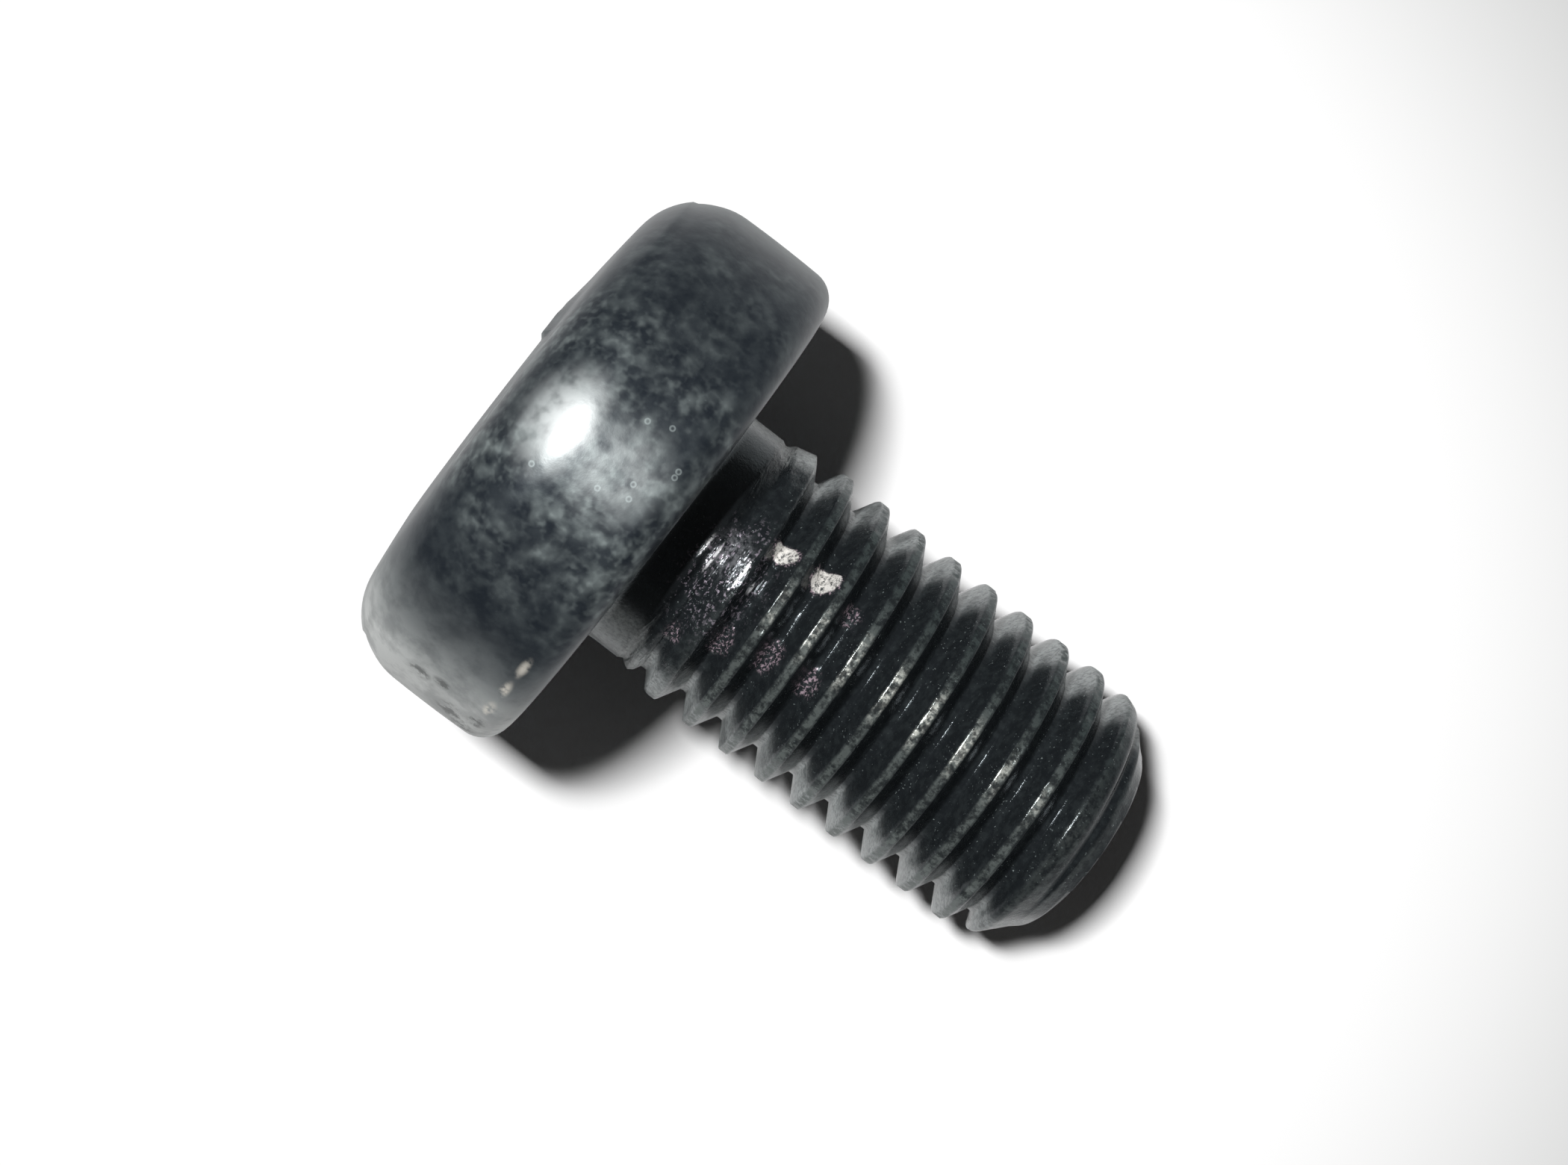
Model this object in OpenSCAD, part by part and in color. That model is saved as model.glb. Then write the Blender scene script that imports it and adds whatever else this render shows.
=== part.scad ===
// Pan head bolt with a six-lobed star recess, lying on the rim of its head and
// the last full crest of its thread. One solid, cold headed and thread rolled.

/* [Head] */
// Diameter of the head
head_d = 19; // [17:0.1:20]
// Height of the head from the bearing face to the top of the crown
head_h = 6.95; // [6.5:0.05:7.5]
// Radius of the slightly crowned top
crown_r = 60; // [40:1:120]
// Radius of the broad shoulder between crown and side
shoulder_r = 2.6; // [2:0.1:3.5]
// Radius of the edge round the bearing face
rim_r = 1; // [0.6:0.1:1.6]

/* [Star recess] */
// Diameter over the points of the six lobes
star_d = 8.95; // [7.9:0.05:9]
// Diameter across the six waists between the lobes
star_waist_d = 6.45; // [5.6:0.05:6.5]
// Radius of the end of each lobe
lobe_r = 0.8; // [0.7:0.05:0.85]
// Depth of the recess at its wall, from the top of the crown
star_depth = 4.2; // [3.5:0.1:4.6]
// Extra depth of the cone that the punch leaves in the floor
star_cone_h = 0.7; // [0.4:0.1:1]
// Diameter of the countersunk mouth
mouth_d = 10.2; // [9.6:0.1:10.6]
// How far the star is turned about the axis of the bolt
star_turn = 4.5; // [0:0.5:59.5]

/* [Neck] */
// Diameter of the plain neck, which is the rolling diameter of the thread
neck_d = 9; // [8.9:0.05:9.1]
// Length of the plain neck
neck_len = 1.48; // [1.3:0.02:1.6]
// Radius of the fillet between neck and bearing face
fillet_r = 0.4; // [0.2:0.1:0.6]

/* [Thread] */
// Diameter over the crests
thread_d = 9.75; // [9.7:0.01:9.9]
// Diameter at the bottom of the groove
root_d = 8.1; // [8:0.05:8.2]
// Distance from one crest to the next
pitch = 1.5; // [1.5]
// Width of the flat crest
crest_w = 0.33; // [0.25:0.01:0.4]
// Height above the bearing face at which the groove starts to run in
groove_start = 1.32; // [1.25:0.01:1.35]
// Turns over which the groove runs in to its full depth
run_in = 1.25; // [1:0.05:1.5]

/* [Tip] */
// Length under the head, from the bearing face to the end of the tip
shank_len = 17.7; // [17.5:0.05:18]
// Diameter of the flat end
tip_d = 7.2; // [6.6:0.1:7.6]
// Length of the steep part of the point
point_len = 1.2; // [1:0.1:1.4]
// Length of the gentle lead between the last full crest and the point
lead_len = 1; // [0.8:0.1:1.2]
// How much the lead takes off the radius
lead_drop = 0.32; // [0.3:0.01:0.4]

/* [Lying pose] */
// How far the bolt has rolled about its own axis where it lies
roll = 7.5; // [0:0.5:20]

/* [Hidden] */
$fn = 96;
eps = 0.5;

head_r = head_d / 2;
neck_r = neck_d / 2;
crest_r = thread_d / 2;
root_r = root_d / 2;
tip_r = tip_d / 2;

// Centre of the shoulder arc, which touches the side and the crown
shoulder_y = head_r - shoulder_r;
shoulder_z = crown_r - head_h - sqrt(pow(crown_r - shoulder_r, 2) - pow(shoulder_y, 2));
crown_end = atan2(shoulder_z + head_h - crown_r, shoulder_y);

// Relief between the neck and the first crest, and the cone on which the crests grow
relief_r = neck_r - 0.1;
relief_z = neck_len + 0.17;
rise_r = neck_r + 0.1;
rise_z = neck_len + 0.42;
full_z = neck_len + 1.55;
lead_z = shank_len - point_len - lead_len;
point_z = shank_len - point_len;

// Waist arc of the star, which touches the lobe arcs on both sides
lobe_at = star_d / 2 - lobe_r;
waist = star_waist_d / 2;
waist_r = (pow(lobe_at, 2) + pow(waist, 2) - 2 * lobe_at * waist * cos(30) - pow(lobe_r, 2))
    / (2 * (lobe_r + lobe_at * cos(30) - waist));
waist_at = waist + waist_r;
// Half the turn of each arc, where lobe and waist share a tangent
lobe_half = 30 + acos((pow(waist_at, 2) + pow(lobe_r + waist_r, 2) - pow(lobe_at, 2))
    / (2 * waist_at * (lobe_r + waist_r)));
waist_half = lobe_half - 30;

// Radius just inside the waists, for the cone in the floor and the end of the mouth
punch_r = waist - 0.1;
// Countersunk mouth of the recess, which slopes in from the crown to just inside the waists
mouth_slope = 22;
mouth_z = crown_r - head_h - sqrt(pow(crown_r, 2) - pow(mouth_d / 2, 2))
    + (mouth_d / 2 - punch_r) * tan(mouth_slope);

// Groove of the thread: a 60 degree vee with a rounded root
flank = tan(30);
groove_out = crest_r + 0.15;
groove_half = (pitch - crest_w) / 2 - (crest_r - root_r) * flank;
root_rise = 0.05;
ring_step = 10;
groove_turns = (shank_len + 0.9 - groove_start) / pitch;
rings = ceil(groove_turns * 360 / ring_step);

// Lying pose: the rim of the head and the start of the lead both touch the ground
reach = lead_z + rim_r;
drop = head_r - rim_r - crest_r;
tilt = atan2(drop, reach) + asin(rim_r / norm([reach, drop]));
lift = (head_r - rim_r) * cos(tilt) - rim_r * sin(tilt) + rim_r;
back_x = shoulder_z * cos(tilt) - shoulder_y * sin(tilt) - shoulder_r;
front_x = shank_len * cos(tilt) + tip_r * sin(tilt);

// Points along an arc about a centre, from one direction up to but without the other
function arc(centre, r, from, to, steps) = [
    for (i = [0 : steps - 1])
        let (a = from + (to - from) * i / steps)
            centre + r * [cos(a), sin(a)]
];

// Half the head: countersunk mouth, crown, shoulder, side and rim, down to the bearing face
head_outline = concat(
    [[0, mouth_z], [punch_r, mouth_z]],
    arc([0, crown_r - head_h], crown_r, asin(mouth_d / 2 / crown_r) - 90, crown_end, 5),
    arc([shoulder_y, shoulder_z], shoulder_r, crown_end, 0, 16),
    [[head_r, shoulder_z]],
    arc([head_r - rim_r, -rim_r], rim_r, 0, 90, 10),
    [[head_r - rim_r, 0]]
);

// Half the shank before its groove is rolled, from the fillet to the tip
shank_outline = concat(
    arc([neck_r + fillet_r, fillet_r], fillet_r, 270, 180, 5),
    [
        [neck_r, fillet_r], [neck_r, neck_len], [relief_r, relief_z], [rise_r, rise_z], [crest_r, full_z],
        [crest_r, lead_z], [crest_r - lead_drop, point_z], [tip_r, shank_len], [0, shank_len]
    ]
);

// Outline of the star: six lobes, drawn in at the waists between them
star_outline = [
    for (i = [0 : 5]) each concat(
        arc(lobe_at * [cos(60 * i), sin(60 * i)], lobe_r, 60 * i - lobe_half, 60 * i + lobe_half, 10),
        arc(waist_at * [cos(60 * i + 30), sin(60 * i + 30)], waist_r,
            60 * i + 210 + waist_half, 60 * i + 210 - waist_half, 8)
    )
];

// Everything that is turned about the axis, with the seam of the turning at the side
module blank() {
    rotate(90) rotate_extrude() polygon(concat(head_outline, shank_outline));
}

// One section of the groove at turn t, as points from the outer left to the outer right
function groove_root(t) = max(root_r, neck_r + 0.05 - (neck_r + 0.05 - root_r) * t / run_in);
function groove_section(t) =
    let (r = groove_root(t), z = groove_start + pitch * t, w = groove_half + (groove_out - r) * flank)
    [[groove_out, z - w], [r + root_rise, z - groove_half], [r, z], [r + root_rise, z + groove_half],
     [groove_out, z + w]];

// The groove itself, swept along the right-hand helix
module groove() {
    corners = 5;
    points = [
        for (i = [0 : rings], p = groove_section(i * ring_step / 360))
            [p[0] * cos(i * ring_step), p[0] * sin(i * ring_step), p[1]]
    ];
    sides = [
        for (i = [0 : rings - 1], k = [0 : corners - 1])
            let (a = i * corners + k, b = i * corners + (k + 1) % corners)
            each [[a, b + corners, b], [a, a + corners, b + corners]]
    ];
    last = rings * corners;
    start_cap = [for (k = [1 : corners - 2]) [0, k, k + 1]];
    end_cap = [for (k = [1 : corners - 2]) [last, last + k + 1, last + k]];
    polyhedron(points = points, faces = concat(sides, start_cap, end_cap), convexity = 12);
}

// The star recess: straight walls, and a floor with a cone in its middle
module star_socket() {
    translate([0, 0, -eps]) linear_extrude(star_depth + eps) polygon(star_outline);
    translate([0, 0, star_depth]) cylinder(h = star_cone_h, r1 = punch_r, r2 = 0);
}

// The blank with its recess punched, before the thread is rolled
module forging() {
    difference() {
        blank();
        translate([0, 0, -head_h]) rotate(star_turn) star_socket();
    }
}

module bolt() {
    color("#2b3134")
        translate([-(back_x + front_x) / 2, 0, lift])
            rotate([0, 90 + tilt, 0]) rotate(roll)
                difference() {
                    forging();
                    groove();
                }
}

bolt();
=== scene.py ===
"""A black star drive bolt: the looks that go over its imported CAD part."""
import math

import bpy
import numpy as np
from mathutils import Matrix, Vector

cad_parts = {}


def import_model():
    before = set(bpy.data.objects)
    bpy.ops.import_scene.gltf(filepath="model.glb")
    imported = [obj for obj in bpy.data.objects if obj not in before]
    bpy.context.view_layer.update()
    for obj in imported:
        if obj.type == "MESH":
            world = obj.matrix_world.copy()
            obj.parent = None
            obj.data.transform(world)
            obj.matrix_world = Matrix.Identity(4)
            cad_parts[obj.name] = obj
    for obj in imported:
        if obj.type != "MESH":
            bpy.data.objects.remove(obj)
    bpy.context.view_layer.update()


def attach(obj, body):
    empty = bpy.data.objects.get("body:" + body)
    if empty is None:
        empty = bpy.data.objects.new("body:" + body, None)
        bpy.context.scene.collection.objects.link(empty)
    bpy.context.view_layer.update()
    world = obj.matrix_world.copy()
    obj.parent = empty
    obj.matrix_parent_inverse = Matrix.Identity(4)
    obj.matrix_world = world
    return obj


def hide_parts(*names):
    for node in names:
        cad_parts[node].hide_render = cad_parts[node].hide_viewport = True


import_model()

MM = 0.001

# The bolt's sizes in millimetres, as in the source of its CAD part
head_r, head_h, crown_r, shoulder_r, rim_r = 9.5, 6.95, 60.0, 2.6, 1.0
star_r, waist, lobe_r, star_depth, star_cone_h = 4.475, 3.225, 0.8, 4.2, 0.7
mouth_r, mouth_slope = 5.1, math.tan(math.radians(22))
neck_r, neck_len, fillet_r = 4.5, 1.48, 0.4
relief_r, rise_r = neck_r - 0.1, neck_r + 0.1
relief_z, rise_z, full_z = neck_len + 0.17, neck_len + 0.42, neck_len + 1.55
crest_r, root_r, pitch, crest_w = 4.875, 4.05, 1.5, 0.33
run_in, first_root_r, groove_out = 1.25, neck_r + 0.05, 5.025
shank_len, tip_r, point_len, lead_len, lead_drop = 17.7, 3.6, 1.2, 1.0, 0.32

# The source then rolls the bolt by 7.5 degrees: its star turns from 4.5 to 12 degrees, and the line of its
# groove, which starts at 1.32, passes straight down at 1.29
star_turn = math.radians(12)
groove_start = 1.29

# The bottom of the groove is rounded less than in the source, where this is 0.05
root_rise = 0.008

flank = math.tan(math.radians(30))
groove_half = (pitch - crest_w) / 2 - (crest_r - root_r) * flank
lead_z = shank_len - point_len - lead_len
point_z = shank_len - point_len
shoulder_y = head_r - shoulder_r
shoulder_z = crown_r - head_h - math.sqrt((crown_r - shoulder_r) ** 2 - shoulder_y ** 2)
mouth_z = crown_r - head_h - math.sqrt(crown_r ** 2 - mouth_r ** 2)
punch_r = waist - 0.1

# Lying pose: the rim of the head and the start of the lead both touch the ground
reach, drop = lead_z + rim_r, head_r - rim_r - crest_r
tilt = math.atan2(drop, reach) + math.asin(rim_r / math.hypot(reach, drop))
lift = (head_r - rim_r) * math.cos(tilt) - rim_r * math.sin(tilt) + rim_r
back_x = shoulder_z * math.cos(tilt) - shoulder_y * math.sin(tilt) - shoulder_r
front_x = shank_len * math.cos(tilt) + tip_r * math.sin(tilt)

# The bolt's frame: its axis towards the tip, world Y, and the side that faces up
AXIS = Vector((math.cos(tilt), 0, -math.sin(tilt)))
SIDE = Vector((0, 1, 0))
UP = Vector((math.sin(tilt), 0, math.cos(tilt)))
BEARING = Vector((-(back_x + front_x) / 2, 0, lift))


def world(along, side, up):
    """A point given in millimetres in the bolt's frame, in world metres."""
    return (BEARING + AXIS * along + SIDE * side + UP * up) * MM


# ---------------------------------------------------------------- noise

def lattice(ix, iy, iz, seed):
    """A repeatable random number from 0 to 1 for every whole-number point, by hashing its numbers."""
    h = (ix * 374761393 + iy * 668265263 + iz * 2147483647 + seed * 974634777) & 0xFFFFFFFF
    h = ((h ^ (h >> 13)) * 1274126177) & 0xFFFFFFFF
    h = ((h ^ (h >> 16)) * 2246822519) & 0xFFFFFFFF
    return ((h ^ (h >> 15)) & 0xFFFFFF) / float(0xFFFFFF)


def noise(p, size, seed=0, octaves=1):
    """Smooth noise from -1 to 1 at points p in millimetres; size is its largest feature."""
    total, weight, share = 0.0, 0.0, 1.0
    for octave in range(octaves):
        q = p * (2 ** octave / size)
        base = np.floor(q).astype(np.int64)
        t = q - base
        t = t * t * (3 - 2 * t)
        value = 0.0
        for cx in (0, 1):
            for cy in (0, 1):
                for cz in (0, 1):
                    w = (np.where(cx, t[..., 0], 1 - t[..., 0])
                         * np.where(cy, t[..., 1], 1 - t[..., 1])
                         * np.where(cz, t[..., 2], 1 - t[..., 2]))
                    value = value + w * lattice(base[..., 0] + cx, base[..., 1] + cy,
                                                base[..., 2] + cz, seed + 17 * octave)
        total = total + share * (2 * value - 1)
        weight += share
        share *= 0.5
    return total / weight


def bump(x, centre, width):
    """1 at the centre, falling smoothly to 0 at one width away."""
    t = np.clip(1 - ((x - centre) / width) ** 2, 0, 1)
    return t * t * (3 - 2 * t)


def step(x, low, high):
    """0 up to low, rising smoothly to 1 from high on."""
    t = np.clip((x - low) / (high - low), 0, 1)
    return t * t * (3 - 2 * t)


# ---------------------------------------------------------------- the bolt's smooth surface

COLUMNS = 320
phi = np.arange(COLUMNS) * 2 * np.pi / COLUMNS     # from straight down, towards world Y


def star_edge(angle):
    """Distance from the axis to the wall of the star recess in each direction."""
    lobe_at = star_r - lobe_r
    waist_r = ((lobe_at ** 2 + waist ** 2 - 2 * lobe_at * waist * math.cos(math.pi / 6) - lobe_r ** 2)
               / (2 * (lobe_r + lobe_at * math.cos(math.pi / 6) - waist)))
    waist_at = waist + waist_r
    sixth = np.pi / 3
    from_lobe = (angle + sixth / 2) % sixth - sixth / 2
    from_waist = sixth / 2 - np.abs(from_lobe)
    lobe_half = 30 + math.degrees(math.acos((waist_at ** 2 + (lobe_r + waist_r) ** 2 - lobe_at ** 2)
                                            / (2 * waist_at * (lobe_r + waist_r))))
    touch = math.atan2(lobe_r * math.sin(math.radians(lobe_half)),
                       lobe_at + lobe_r * math.cos(math.radians(lobe_half)))
    on_lobe = (lobe_at * np.cos(from_lobe)
               + np.sqrt(np.maximum(lobe_r ** 2 - (lobe_at * np.sin(from_lobe)) ** 2, 0)))
    on_waist = (waist_at * np.cos(from_waist)
                - np.sqrt(np.maximum(waist_r ** 2 - (waist_at * np.sin(from_waist)) ** 2, 0)))
    return np.where(np.abs(from_lobe) < touch, on_lobe, on_waist)


def blank_radius(z):
    """Radius of the shank before its groove is rolled."""
    heights = [0, fillet_r, neck_len, relief_z, rise_z, full_z, lead_z, point_z, shank_len]
    radii = [neck_r, neck_r, neck_r, relief_r, rise_r, crest_r, crest_r, crest_r - lead_drop, tip_r]
    return np.interp(z, heights, radii)


def groove_radius(z, angle):
    """Radius of the groove at height z; angle is in turns, and the groove climbs with it."""
    beyond = 9.0                 # well outside the shank: no groove before its start
    turn = np.round((z - groove_start) / pitch - angle) + angle
    off = np.abs(z - groove_start - pitch * turn)
    root = np.maximum(root_r, first_root_r - (first_root_r - root_r) * np.maximum(turn, 0) / run_in)
    slope = (groove_out - root) * flank / (groove_out - root - root_rise)
    bottom = root + root_rise * np.minimum(off / groove_half, 1) ** 2
    return np.where(turn < 0, beyond, bottom + np.maximum(off - groove_half, 0) / slope)


def soft_min(a, b, k):
    """The smaller of a and b, rounded off where they are less than k apart."""
    h = np.maximum(k - np.abs(a - b), 0) / k
    return np.minimum(a, b) - h * h * k / 4


rows = []        # (radius, height) of every ring, from the floor of the recess to the tip


def ring(r, z):
    """Add a ring; its radius and height are one value, or one for each column."""
    rows.append((np.broadcast_to(r, phi.shape).astype(float),
                 np.broadcast_to(z, phi.shape).astype(float)))


# Star recess: the cone in its floor, the floor, the wall and the countersunk mouth
star = star_edge(phi - star_turn)
floor_z = star_depth - head_h
foot_rise, wall_draft = 0.06, 0.02
foot_z = floor_z - foot_rise
lip_z = mouth_z + (mouth_r - star) * mouth_slope
for f in (0.0, 0.3, 0.65, 0.95, 1.0):
    ring(punch_r * f, floor_z + star_cone_h * (1 - f))
for f in (0.5, 0.9, 1.0):
    ring(punch_r + (star - punch_r) * f, foot_z if f == 1.0 else floor_z)
for f in (0.25, 0.5, 0.75, 0.93, 0.98):
    ring(star + wall_draft * f, foot_z + (lip_z - foot_z) * f)
for f in (0.06, 0.15, 0.4, 0.7, 0.92, 0.97):
    ring(star + (mouth_r - star) * f, lip_z + (mouth_z - lip_z) * f)

# Head: crown, shoulder, side, rim and bearing face
lip_w = 0.06                 # the crown's rings stop this far short of the mouth, which rounds its edge
crown_start = math.asin((mouth_r + lip_w) / crown_r)
crown_stop = math.asin(shoulder_y / (crown_r - shoulder_r))
for f in (0.0, 0.1, 0.4, 0.7):
    a = crown_start + (crown_stop - crown_start) * f
    ring(crown_r * math.sin(a), crown_r - head_h - crown_r * math.cos(a))
shoulder_steps, rim_steps, fillet_steps = 18, 10, 6
for i in range(shoulder_steps + 1):
    a = crown_stop + (math.pi / 2 - crown_stop) * i / shoulder_steps
    ring(shoulder_y + shoulder_r * math.sin(a), shoulder_z - shoulder_r * math.cos(a))
for f in (0.2, 0.4, 0.6, 0.8, 1.0):
    ring(head_r, shoulder_z + (-rim_r - shoulder_z) * f)
for i in range(1, rim_steps + 1):
    a = math.pi / 2 * i / rim_steps
    ring(head_r - rim_r + rim_r * math.cos(a), -rim_r + rim_r * math.sin(a))
for f in (0.15, 0.35, 0.55, 0.75, 0.9):
    ring(head_r - rim_r + (neck_r + fillet_r - head_r + rim_r) * f, 0.0)
head_rows = len(rows)

# Neck, with the fillet under the head
for i in range(fillet_steps + 1):
    a = math.pi / 2 * i / fillet_steps
    ring(neck_r + fillet_r - fillet_r * math.sin(a), fillet_r - fillet_r * math.cos(a))
for f in (0.25, 0.5, 0.75):
    ring(neck_r, fillet_r + (neck_len - fillet_r) * f)
thread_start = len(rows)

# Thread: its rings climb one pitch in a turn, so each follows its crest, flank or root all the way.
# Their radius is worked out below
turns = phi / (2 * np.pi)
flank_run = 0.6085           # along the axis for each millimetre of height, to just past the crest's edge
edge = groove_half + (crest_r - root_r - root_rise) * flank_run
half_offsets = [0.06, groove_half, groove_half + 0.15, groove_half + 0.31, edge - 0.045, edge, edge + 0.05]
offsets = [-o for o in reversed(half_offsets)] + [0.0] + half_offsets + [pitch / 2]
PER_PITCH = len(offsets)
FIRST_TURN, LAST_TURN = -1, 11
for k in range(FIRST_TURN, LAST_TURN + 1):
    for o in offsets:
        ring(0.0, np.clip(groove_start + pitch * (k + turns) + o, neck_len, shank_len))
thread_stop = len(rows)

# End face of the tip, a little proud in its middle
bulge = 0.02
for f in (0.97, 0.6, 0.3, 0.0):
    ring(tip_r * f, shank_len + (bulge if f < 0.9 else 0.0))

R = np.array([r for r, _ in rows])
Z = np.array([z for _, z in rows])
thread = slice(thread_start, thread_stop)
thread_z = Z[thread]
blank_r = blank_radius(thread_z)
groove_r = groove_radius(thread_z, turns[None, :])
crest_rounding = 0.05
R[thread] = soft_min(blank_r, groove_r, crest_rounding)

row_number = np.arange(len(rows))[:, None]
in_head = row_number < head_rows
degrees = np.degrees(phi)[None, :]
smooth_points = np.stack([R * np.cos(phi), R * np.sin(phi), Z], axis=-1)

# ---------------------------------------------------------------- wear, dirt and uneven places

on_thread = np.zeros_like(R)
on_thread[thread] = step(thread_z, 1.7, 2.6) * (1 - step(thread_z, 17.2, 17.65))
worn = np.zeros_like(R)
worn[thread] = (step(groove_r - blank_r, -0.02, 0.10)
                * step(thread_z, 2.4, 4.4) * (1 - 0.75 * step(thread_z, 15.6, 16.3)))

# Wear on the crests: a wavering edge, and a few nicks; push is how far the surface moves outwards
waver_depth, nick_depth = 0.02, 0.045
waver = noise(smooth_points, 1.6, 11, 3)
nicks = step(noise(smooth_points, 0.7, 3, 2), 0.28, 0.62)
push = on_thread * worn * (waver_depth * waver - nick_depth * nicks)

# Rolled skin: fine on the flanks, coarser on the upper side of the first turns
fine_depth, coarse_depth = 0.008, 0.05
push = push + on_thread * fine_depth * noise(smooth_points, 0.30, 5, 2)
rough_turns = on_thread * (1 - step(Z, 3.5, 7.0)) * bump(degrees, 190.0, 60.0)
push = push + rough_turns * coarse_depth * noise(smooth_points * [1.0, 1.0, 2.2], 0.5, 8, 3)

# Crusts of dried residue in the first turns, as (height, degrees round, half length, half width, rise)
CRUSTS = [(5.02, 158.0, 0.42, 6.0, 0.15), (3.48, 159.5, 0.44, 5.0, 0.12), (5.10, 199.5, 0.34, 9.0, 0.07),
          (6.62, 198.0, 0.30, 8.0, 0.06), (6.42, 162.5, 0.32, 5.0, 0.07), (2.15, 216.5, 0.34, 5.0, 0.08),
          (3.62, 207.5, 0.34, 8.0, 0.07)]
THICK_FROM = 0.1             # a crust that rises more than this is a thick one
crust = np.zeros_like(R)
for z, at, half_z, half_a, rise in CRUSTS:
    d = ((Z - z) / half_z) ** 2 + ((degrees - at) / half_a) ** 2
    blob = np.clip(1.3 - d + 0.5 * noise(smooth_points, 0.45, 21, 2), 0, 1) * on_thread
    crust = np.maximum(crust, np.clip(blob * 1.6, 0, 1) * (1.0 if rise > THICK_FROM else 0.4))
    push = push + rise * np.clip(blob * 1.6, 0, 1) * (1 + 0.9 * noise(smooth_points, 0.22, 23, 2))
R = R + push

# Head: a burr on the lip of the recess, small dents in the skin, and a side that bulges a little
burr_height, burr_at, burr_w = 0.17, mouth_r + 0.12, 0.42
on_crown = (Z < -6.2) & (R > star - 0.01)
burr_round = step(degrees, 112.0, 150.0) * (1 - step(degrees, 152.5, 155.0))
burr = bump(R, burr_at, burr_w) * on_crown * burr_round
Z = Z - burr_height * burr * (0.8 + 0.4 * noise(smooth_points, 0.8, 31, 2))
outer_head = in_head & (R > mouth_r)
belly_z, belly_half, side_top, barrel_depth = -2.4, 2.6, -5.6, 0.08
barrel = np.clip(np.abs(Z - belly_z) / belly_half, 0, 1) ** 2 * (Z < 0) * (Z > side_top)
dents = 0.010 * noise(smooth_points, 1.3, 41, 3) + 0.02 * noise(smooth_points, 5.0, 43)
R = R + outer_head * (dents - barrel_depth * barrel)

# Tip: the end leans back from its longest side, and its edge is uneven
longest_side, lean_from, least_lean, most_lean, middle_lean = 192.0, 15.9, 0.04, 0.45, 0.25
away = 1 - np.cos(np.radians(degrees - longest_side))
edge_lean = np.minimum(least_lean + 0.5 * away, most_lean) + 0.05 * noise(smooth_points, 1.8, 51, 2)
outward = np.clip(R / tip_r, 0, 1)
Z = Z - step(Z, lean_from, shank_len) * (edge_lean * outward + middle_lean * (1 - outward))

# ---------------------------------------------------------------- mesh

# In the bolt's frame the columns start straight down and turn towards world Y
local = np.stack([Z.ravel(), (R * np.sin(phi)).ravel(), -(R * np.cos(phi)).ravel()], axis=-1)
points = (np.array(BEARING) + local @ np.array([AXIS, SIDE, UP])) * MM

# A point that falls on its neighbour in the ring before shares its number, and each pole is one point
n_rows = len(rows)
index = np.arange(n_rows * COLUMNS).reshape(n_rows, COLUMNS)
grid = points.reshape(n_rows, COLUMNS, 3)
for j in range(1, n_rows):
    same = np.abs(grid[j] - grid[j - 1]).max(-1) < 1e-9
    index[j] = np.where(same, index[j - 1], index[j])
index[0, :] = index[0, 0]
index[-1, :] = index[-1, 0]


def next_column(j, c):
    """Index of the point one column on; the thread's rings climb one pitch at the seam."""
    if c + 1 < COLUMNS:
        return index[j, c + 1]
    if thread_start <= j < thread_stop:
        return index[min(j + PER_PITCH, thread_stop - 1), 0]
    return index[j, 0]


faces = []
for j in range(n_rows - 1):
    for c in range(COLUMNS):
        quad = [index[j, c], next_column(j, c), next_column(j + 1, c), index[j + 1, c]]
        kept = [v for i, v in enumerate(quad) if v != quad[i - 1]]
        if len(set(kept)) > 2:
            faces.append(tuple(int(v) for v in kept))

used = np.unique(np.concatenate([np.array(f) for f in faces]))
renumber = np.full(len(points), -1)
renumber[used] = np.arange(len(used))
mesh = bpy.data.meshes.new("bolt_surface")
mesh.from_pydata(points[used].tolist(), [], [tuple(int(renumber[v]) for v in f) for f in faces])
mesh.validate()
bolt = bpy.data.objects.new("bolt_surface", mesh)
bpy.context.scene.collection.objects.link(bolt)
mesh.shade_smooth()


def attribute(name, values):
    """Keep a value at every point of the mesh, for the material to read."""
    layer = mesh.attributes.new(name, "FLOAT", "POINT")
    layer.data.foreach_set("value", np.broadcast_to(values, R.shape).ravel()[used].astype(np.float32))


# Where the head's pale mottling is strong: round the upper side, less to one side of it; its rise round the
# highlight is painted highlight
mottling_and_painted_highlight = (0.24 + 0.76 * bump(degrees, 182.0, 42.0)) * (1 - 0.55 * bump(degrees, 216.0, 18.0))

# Where a pale film lies, which is partly painted reflection: on the low and the high side of head and shank,
# shifted a little near the head
head_low = step(degrees, 214.0, 246.0) * (1 - step(degrees, 260.0, 286.0))
head_high = step(degrees, 72.0, 94.0) * (1 - step(degrees, 99.0, 114.0))
head_film_and_reflection = (head_low + 0.6 * head_high) * step(R, 6.0, 8.8)
near_head = np.clip((1.9 - Z) / 0.5, 0, 1)
shank_low = step(degrees + 15 * near_head, 229.0, 243.0) * (1 - step(degrees, 262.0, 286.0))
shank_high = step(degrees, 72.0, 96.0) * (1 - step(degrees + 5 * near_head, 110.0, 125.0))
shank_film_and_reflection = 0.85 * (shank_low + shank_high) * step(R, 3.0, 3.58)
film_and_reflection_mask = np.where(in_head, head_film_and_reflection, shank_film_and_reflection) * (0.9 + 0.4 * noise(smooth_points, 2.2, 61, 2))

attribute("worn", worn * on_thread)
attribute("crust", crust)
attribute("shank", np.where(in_head, 0.0, 1.0))
attribute("pale", mottling_and_painted_highlight)
attribute("film_and_reflection_mask", film_and_reflection_mask)
attribute("along", Z)
attribute("around", degrees)

# ---------------------------------------------------------------- shader nodes

nodes = links = coords = None        # of the material that start_material made last


def start_material(name):
    """Make a material that the functions below add nodes to; returns it and its shader."""
    global nodes, links, coords
    material = bpy.data.materials.new(name)
    material.use_nodes = True
    nodes, links = material.node_tree.nodes, material.node_tree.links
    coords = nodes.new("ShaderNodeTexCoord").outputs["Object"]
    return material, nodes["Principled BSDF"]


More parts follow.
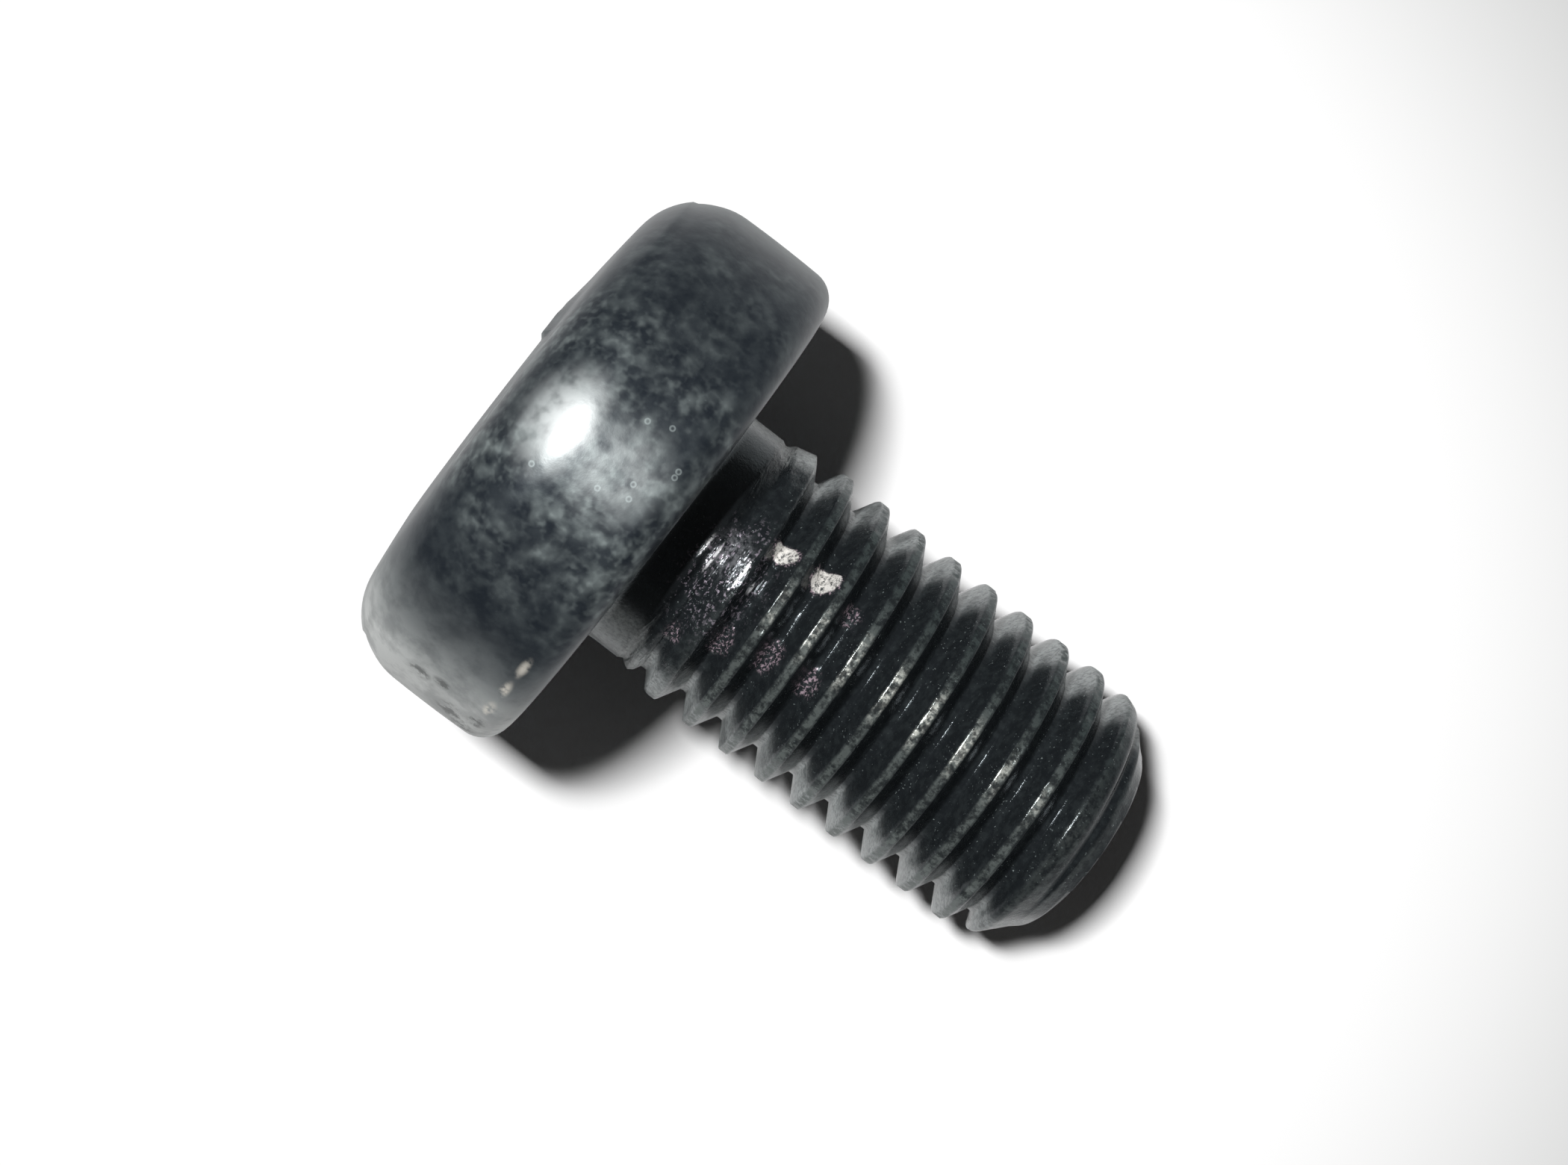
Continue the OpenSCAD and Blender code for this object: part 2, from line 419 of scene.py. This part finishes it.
def feed(node, socket, value):
    """Set a socket to a number or a colour, or link it to another node's output."""
    if isinstance(value, (int, float)):
        node.inputs[socket].default_value = value
    elif isinstance(value, tuple):
        node.inputs[socket].default_value = (*value, 1)
    else:
        links.new(value, node.inputs[socket])


def calc(op, *values):
    """The result of a Math node."""
    n = nodes.new("ShaderNodeMath")
    n.operation = op
    for i, v in enumerate(values):
        feed(n, i, v)
    return n.outputs[0]


def product(*values):
    """All the values multiplied."""
    total = values[0]
    for v in values[1:]:
        total = calc("MULTIPLY", total, v)
    return total


def either(*values):
    """The largest of the values."""
    total = values[0]
    for v in values[1:]:
        total = calc("MAXIMUM", total, v)
    return total


def noise_node(size_mm, detail=2.0, rough=0.5):
    """Noise from 0 to 1, with features of the given size."""
    n = nodes.new("ShaderNodeTexNoise")
    n.inputs["Scale"].default_value = 1 / (size_mm * MM)
    n.inputs["Detail"].default_value = detail
    n.inputs["Roughness"].default_value = rough
    links.new(coords, n.inputs["Vector"])
    return n.outputs["Fac"]


def ramp(value, low, high, out_low=0.0, out_high=1.0):
    """A value taken smoothly from the range low to high over to out_low to out_high."""
    n = nodes.new("ShaderNodeMapRange")
    n.interpolation_type = "SMOOTHSTEP"
    for name, v in (("From Min", low), ("From Max", high), ("To Min", out_low), ("To Max", out_high)):
        n.inputs[name].default_value = v
    links.new(value, n.inputs["Value"])
    return n.outputs["Result"]


def mix(fac, a, b):
    """Colour a where fac is 0, and colour b where it is 1."""
    n = nodes.new("ShaderNodeMix")
    n.data_type = "RGBA"
    feed(n, 0, fac)
    feed(n, 6, a)
    feed(n, 7, b)
    return n.outputs[2]


def attr(name):
    """One of the mesh's own values."""
    n = nodes.new("ShaderNodeAttribute")
    n.attribute_name = name
    return n.outputs["Fac"]


def distance(z, at, half_z, half_a):
    """Distance from a place on the surface: 0 there, and 1 at its half length and half width."""
    dz = calc("DIVIDE", calc("SUBTRACT", along, z), half_z)
    da = calc("DIVIDE", calc("SUBTRACT", around, at), half_a)
    return calc("SQRT", calc("ADD", product(dz, dz), product(da, da)))


def patch(z, at, half_z, half_a, core=0.2):
    """1 within the core of a place on the surface, falling to 0 at its half length and half width."""
    return ramp(distance(z, at, half_z, half_a), 1.0, core)


# ---------------------------------------------------------------- black steel

# Marks on the surface, some of them painted glints, as (height, degrees round, half length, half width), and
# glinting grains as (height, degrees)
STAINS = [(-1.0, 247.0, 0.5, 5.0), (-1.8, 251.0, 0.9, 7.0), (-2.6, 241.0, 0.5, 2.5), (-3.4, 243.0, 0.6, 3.5),
          (-1.3, 256.0, 0.8, 6.0)]
FLECKS = [(-0.93, 221.0, 0.22, 4.0), (-0.95, 229.0, 0.22, 4.0), (-0.95, 238.0, 0.26, 4.6)]
PAINTED_GLINTS = [(1.34, 176.5, 0.09, 7.0), (2.78, 177.0, 0.07, 8.0), (1.75, 179.0, 0.08, 9.0),
          (3.30, 180.0, 0.10, 4.0)]
GLINTING_GRAINS = [(-0.93, 170.9), (-0.92, 172.2), (-1.78, 177.8), (-1.62, 180.4), (-1.87, 165.2), (-2.57, 182.3),
          (-2.6, 167.0), (-4.58, 186.2)]
GRAIN_HALF = (0.12, 0.75)

steel, shader = start_material("black_steel")
shader.inputs["IOR"].default_value = 1.25
worn_here, crust_here, shank, pale, film_and_reflection_here = (attr(n) for n in ("worn", "crust", "shank", "pale", "film_and_reflection_mask"))
along, around = attr("along"), attr("around")

# Head: small soft pale spots on blue-black, crowded round the highlight, where their crowding is partly
# painted highlight
spots = ramp(noise_node(0.55, 1.0, 0.4), 0.36, 0.82)
small_spots = ramp(noise_node(0.24, 1.0, 0.4), 0.42, 0.80)
cloud = ramp(noise_node(1.9, 3, 0.6), 0.32, 0.62, 0.2, 1.0)
mottled = product(calc("ADD", product(spots, 0.78), product(small_spots, 0.42)), cloud, pale)
skin = mix(ramp(noise_node(0.9, 4, 0.6), 0.35, 0.68), (0.024, 0.031, 0.040), (0.046, 0.056, 0.065))
head_colour = mix(mottled, skin, (0.26, 0.30, 0.30))

# Painted highlight: a pale patch painted where the lamp's highlight falls on the head, and its brighter core
painted_highlight_glow = either(patch(-4.62, 176.5, 1.60, 15.0), product(patch(-2.40, 177.5, 2.10, 14.0), 0.36))
painted_highlight_glow = product(painted_highlight_glow, ramp(noise_node(0.60, 2.5, 0.5), 0.25, 0.62, 0.35, 1.0))
head_colour = mix(painted_highlight_glow, head_colour, (0.60, 0.64, 0.64))
head_colour = mix(product(patch(-4.40, 176.5, 0.85, 7.5, core=0.3), 0.65), head_colour, (0.90, 0.93, 0.93))

# The film and painted reflection at both edges, paler at the low one
film_and_painted_reflection = calc("MULTIPLY", film_and_reflection_here, ramp(noise_node(1.0, 4, 0.6), 0.30, 0.62, 0.60, 1.0))
low_end = ramp(around, 226.0, 250.0)
head_colour = mix(film_and_painted_reflection, head_colour, mix(low_end, (0.34, 0.365, 0.365), (0.68, 0.70, 0.69)))

# Stains and small pale flecks on the low edge of the head, and a few grains of dust, each with a painted
# glint: a small bright ring
stains = product(either(*(patch(*mark, core=0.3) for mark in STAINS)),
                 ramp(noise_node(0.5, 4, 0.7), 0.42, 0.6))
head_colour = mix(product(stains, 0.75), head_colour, (0.06, 0.065, 0.065))
flecks = product(either(*(patch(*mark, core=0.1) for mark in FLECKS)),
                 ramp(noise_node(0.5, 3, 0.6), 0.38, 0.58))
head_colour = mix(product(flecks, 0.7), head_colour, (0.95, 0.90, 0.80))
dust_grain_glints = either(*(product(ramp(distance(*mark, *GRAIN_HALF), 1.0, 0.65),
                          ramp(distance(*mark, *GRAIN_HALF), 0.20, 0.65)) for mark in GLINTING_GRAINS))
head_colour = mix(product(dust_grain_glints, 0.30), head_colour, (0.70, 0.80, 0.80))

# Shank: near black with a little dust, a slightly greyer neck, partly dust and partly painted light that
# lifts the shade under the head, and the film
dust = product(ramp(noise_node(0.085, 1, 0.5), 0.68, 0.76),
               ramp(noise_node(1.3, 3, 0.6), 0.42, 0.62, 0.15, 1.0))
shank_colour = mix(ramp(noise_node(0.3, 3, 0.6), 0.4, 0.7), (0.020, 0.024, 0.027), (0.034, 0.041, 0.044))
shank_colour = mix(dust, shank_colour, (0.20, 0.23, 0.23))
shank_colour = mix(product(ramp(along, 1.50, 1.25), 0.16), shank_colour, (0.36, 0.41, 0.44))
# Frosted flanks: the same film on the shank, partly painted reflection
frost_and_painted_reflection = product(film_and_painted_reflection, ramp(noise_node(0.16, 3, 0.75), 0.32, 0.62, 0.35, 1.0))
shank_colour = mix(frost_and_painted_reflection, shank_colour, (0.46, 0.49, 0.49))

# Crests: worn grey, lighter from the top round to the low side, which is painted light, and beaded with
# painted highlights along the upper side
crest = product(worn_here, ramp(noise_node(0.30, 4, 0.7), 0.38, 0.60, 0.15, 1.0))
low_side = ramp(around, 140.0, 178.0)
crest_colour = mix(low_side, (0.060, 0.076, 0.076), (0.135, 0.155, 0.150))
painted_highlight_beads = product(patch(9.0, 179.0, 9.0, 17.0), ramp(noise_node(0.22, 2, 0.6), 0.42, 0.60, 0.10, 1.0))
crest_colour = mix(painted_highlight_beads, crest_colour, (0.70, 0.72, 0.66))
shank_colour = mix(crest, shank_colour, crest_colour)

# Scores that the rolling dies drew round the first turns: noise that is long round the bolt, short along it
SCORE_LENGTH, SCORES_PER_MM = 0.7 * MM, 7.0
split = nodes.new("ShaderNodeSeparateXYZ")
links.new(coords, split.inputs[0])
stretched = nodes.new("ShaderNodeCombineXYZ")
feed(stretched, 0, product(along, SCORES_PER_MM))
feed(stretched, 1, calc("DIVIDE", split.outputs[1], SCORE_LENGTH))
feed(stretched, 2, calc("DIVIDE", split.outputs[2], SCORE_LENGTH))
scored = nodes.new("ShaderNodeTexNoise")
scored.inputs["Scale"].default_value = 1.0
scored.inputs["Detail"].default_value = 3
links.new(stretched.outputs[0], scored.inputs["Vector"])
scores = scored.outputs["Fac"]

# Painted sheen, painted glitter with pinkish dust, and painted bright streaks (glints) over the first turns
painted_sheen = product(patch(2.05, 174.0, 0.9, 15.0), ramp(noise_node(0.25, 3, 0.7), 0.35, 0.65), 0.5)
shank_colour = mix(painted_sheen, shank_colour, (0.46, 0.47, 0.50))
dust_and_painted_glitter = product(patch(2.3, 183.0, 2.0, 34.0), ramp(noise_node(0.15, 2, 0.7), 0.54, 0.64),
                  ramp(scores, 0.42, 0.58))
shank_colour = mix(product(dust_and_painted_glitter, 0.8), shank_colour, (0.62, 0.54, 0.64))
painted_glints = product(either(*(patch(*mark, core=0.3) for mark in PAINTED_GLINTS)),
                 ramp(noise_node(0.12, 2, 0.6), 0.36, 0.50))
shank_colour = mix(painted_glints, shank_colour, (0.95, 0.95, 0.97))

# The crusts: whitish where they are thick, and crumbs of pinkish dust where they are thin
thick = ramp(crust_here, 0.42, 0.8)
crumbs = either(product(thick, ramp(noise_node(0.18, 3, 0.75), 0.34, 0.58)),
                ramp(noise_node(0.12, 2, 0.7), 0.50, 0.64))
crust_colour = mix(thick, (0.40, 0.31, 0.36), (0.80, 0.78, 0.74))
shank_colour = mix(product(ramp(crust_here, 0.0, 0.4), crumbs), shank_colour, crust_colour)
links.new(mix(shank, head_colour, shank_colour), shader.inputs["Base Color"])

# Film and its painted reflection, dust, crusts, the painted highlight patch and the painted glints are not
# metal; the skin under them partly shines like it
cover = either(film_and_painted_reflection, painted_highlight_glow, crust_here, dust, painted_glints)
links.new(calc("MULTIPLY_ADD", cover, -0.32, 0.37), shader.inputs["Metallic"])

# The head is satin and the shank glossier; film (partly painted reflection), crusts and worn crests are
# duller
head_rough = calc("ADD", 0.33, calc("ADD", product(mottled, 0.06), product(noise_node(0.9, 3), 0.08)))
head_rough = calc("ADD", head_rough, product(film_and_painted_reflection, 0.2))
shank_rough = calc("ADD", 0.13, calc("ADD", product(crest, 0.15), product(noise_node(0.4, 3), 0.05)))
shank_rough = calc("ADD", shank_rough, calc("ADD", product(film_and_painted_reflection, 0.3), product(crust_here, 0.4)))
rough = calc("ADD", product(head_rough, calc("SUBTRACT", 1.0, shank)), product(shank_rough, shank))
links.new(rough, shader.inputs["Roughness"])

# Relief: a fine grain everywhere, and the scores
first_turns = product(ramp(along, 1.2, 1.5), ramp(along, 4.6, 2.6))
grain = product(noise_node(0.10, 3, 0.6), calc("MULTIPLY_ADD", shank, 0.9, 0.30))
height = calc("ADD", grain, product(noise_node(0.8, 2), 0.8))
height = calc("ADD", height, product(scores, first_turns, 9.0))
relief = nodes.new("ShaderNodeBump")
relief.inputs["Strength"].default_value = 0.6
relief.inputs["Distance"].default_value = 0.015 * MM
links.new(height, relief.inputs["Height"])
links.new(relief.outputs["Normal"], shader.inputs["Normal"])
mesh.materials.append(steel)

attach(bolt, "root")
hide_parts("bolt")

# ---------------------------------------------------------------- floor

# Pale round the bolt, and grey further out, a painted falloff of the light; sizes in metres
FLOOR_HALF = 3.0
FLOOR_CENTRE = (-0.0097, -0.0059, 0)
PALE_TO, GREY_FROM = 0.030, 0.050
corners = [(-FLOOR_HALF, -FLOOR_HALF, 0), (FLOOR_HALF, -FLOOR_HALF, 0),
           (FLOOR_HALF, FLOOR_HALF, 0), (-FLOOR_HALF, FLOOR_HALF, 0)]
floor_mesh = bpy.data.meshes.new("floor")
floor_mesh.from_pydata(corners, [], [(0, 1, 2, 3)])
floor = bpy.data.objects.new("floor", floor_mesh)
bpy.context.scene.collection.objects.link(floor)
floor_paint, floor_shader = start_material("pale_floor")
floor_shader.inputs["Roughness"].default_value = 0.8
from_centre = nodes.new("ShaderNodeVectorMath")
from_centre.operation = "DISTANCE"
links.new(coords, from_centre.inputs[0])
from_centre.inputs[1].default_value = FLOOR_CENTRE
painted_falloff = ramp(from_centre.outputs["Value"], PALE_TO, GREY_FROM)
links.new(mix(painted_falloff, (0.93, 0.93, 0.93), (0.50, 0.505, 0.50)), floor_shader.inputs["Base Color"])
floor_mesh.materials.append(floor_paint)

# ---------------------------------------------------------------- camera and light


def placed(x, y, z, location):
    """The matrix of an object with the given axes and place."""
    matrix = Matrix((x, y, z)).transposed().to_4x4()
    matrix.translation = location
    return matrix


# The head is tipped towards the camera by the first angle, and the second turns the bolt in the picture.
# The places of camera and lamp are in millimetres in the bolt's frame
tipped = math.radians(4.4608)
turned = math.radians(37.697)
CAMERA_PLACE = (-4.142, 0.806, 109.063)
level = AXIS * math.cos(tipped) + UP * math.sin(tipped)
right = level * math.cos(turned) + SIDE * math.sin(turned)
above = SIDE * math.cos(turned) - level * math.sin(turned)
back = UP * math.cos(tipped) - AXIS * math.sin(tipped)
camera_data = bpy.data.cameras.new("camera")
camera_data.sensor_width = 36.0
camera_data.lens = 75.87
camera_data.clip_start = 0.005
camera_data.clip_end = 20
camera = bpy.data.objects.new("camera", camera_data)
camera.matrix_world = placed(right, above, back, world(*CAMERA_PLACE))
bpy.context.scene.collection.objects.link(camera)
bpy.context.scene.camera = camera

# A soft panel that faces the shank; its sizes are along and across the bolt
LAMP_PLACE, LAMP_AIM = (-185, 28, 510), (4, 0, 0)
LAMP_ALONG, LAMP_ACROSS = 76 * MM, 50 * MM
lamp_data = bpy.data.lights.new("flash", "AREA")
lamp_data.shape = "RECTANGLE"
lamp_data.size, lamp_data.size_y = LAMP_ALONG, LAMP_ACROSS
lamp_data.energy = 3.30
lamp = bpy.data.objects.new("flash", lamp_data)
facing = (world(*LAMP_PLACE) - world(*LAMP_AIM)).normalized()
across = (SIDE - facing * SIDE.dot(facing)).normalized()
lamp.matrix_world = placed(across.cross(facing), across, facing, world(*LAMP_PLACE))
bpy.context.scene.collection.objects.link(lamp)

world_data = bpy.data.worlds.new("studio")
bpy.context.scene.world = world_data
world_data.use_nodes = True
world_data.node_tree.nodes["Background"].inputs["Color"].default_value = (1.0, 0.95, 0.93, 1)
world_data.node_tree.nodes["Background"].inputs["Strength"].default_value = 0.03

bpy.context.scene.view_settings.view_transform = "Standard"
